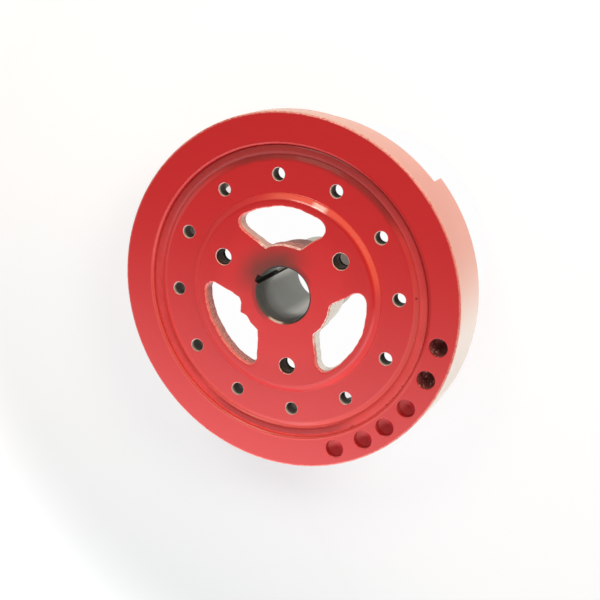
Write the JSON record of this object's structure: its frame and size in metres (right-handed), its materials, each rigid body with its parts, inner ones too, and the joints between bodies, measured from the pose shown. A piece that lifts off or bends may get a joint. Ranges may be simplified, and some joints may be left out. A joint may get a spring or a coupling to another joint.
{
  "type": "harmonic balancer",
  "caption": "Crankshaft vibration damper: a windowed iron hub, a bonded rubber band and a heavy outer ring, pressed on a keyed crank and carrying a bolted pulley.",
  "frame": {"origin": "centre of the crank bore at the sleeve's rear end face, the lowest point", "axes": "+Z along the crank axis, out of the front face; the first spoke lies 30 degrees from +X towards +Y"},
  "size_m": [0.2032, 0.2032, 0.0575],
  "materials": {
    "hub_paint": "gloss red enamel over cast iron, bare in the bore",
    "elastomer": "rubber, painted over at the front",
    "ring_paint": "gloss red enamel over cast iron"
  },
  "bodies": {
    "root": {"hub": "hub_paint", "elastomer_ring": "elastomer", "inertia_ring": "ring_paint"}
  },
  "joints": []
}
